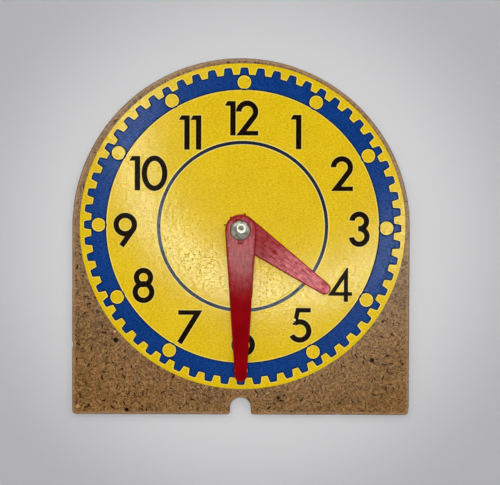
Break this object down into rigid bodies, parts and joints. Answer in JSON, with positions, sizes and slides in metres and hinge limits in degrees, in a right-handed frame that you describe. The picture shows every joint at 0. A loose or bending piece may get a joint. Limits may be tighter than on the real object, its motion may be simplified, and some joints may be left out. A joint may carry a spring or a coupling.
{
  "type": "teaching clock",
  "caption": "Arched hardboard dial with a printed gear ring and plain numerals, two loose moulded hands on a central rivet, and a hanging notch in the bottom edge.",
  "frame": {"origin": "on the back face of the board, at the middle of its width and height", "axes": "+Y towards 12 o'clock, +Z out of the face, towards the viewer, +X towards 3 o'clock"},
  "size_m": [0.1142, 0.1206, 0.0084],
  "materials": {
    "hardboard": "matte",
    "yellow_enamel": "satin",
    "blue_enamel": "satin",
    "black_enamel": "satin",
    "red_plastic": "gloss",
    "nickelled_rivet": "polished",
    "clear_nylon": "satin",
    "steel_washer": "satin"
  },
  "bodies": {
    "clock_board": {"backboard": "hardboard", "dial_ground_print": "yellow_enamel", "gear_ring_print": "blue_enamel", "chapter_ring_print": "blue_enamel", "numeral_01": "black_enamel", "numeral_02": "black_enamel", "numeral_03": "black_enamel", "numeral_04": "black_enamel", "numeral_05": "black_enamel", "numeral_06": "black_enamel", "numeral_07": "black_enamel", "numeral_08": "black_enamel", "numeral_09": "black_enamel", "numeral_10": "black_enamel", "numeral_11": "black_enamel", "numeral_12": "black_enamel", "rivet": "nickelled_rivet", "dial_washer": "clear_nylon", "hand_washer": "clear_nylon", "back_washer": "steel_washer"},
    "hour_hand": {"hour_hand": "red_plastic"},
    "minute_hand": {"minute_hand": "red_plastic"}
  },
  "joints": [
    {"name": "hour_hand_turn", "type": "hinge", "parent": "clock_board", "child": "hour_hand", "pos_m": [-0.0002, 0.00217, 0.00439], "axis": [0, 0, -1], "continuous": true},
    {"name": "minute_hand_turn", "type": "hinge", "parent": "clock_board", "child": "minute_hand", "pos_m": [-0.0002, 0.00217, 0.00631], "axis": [0, 0, -1], "continuous": true}
  ]
}
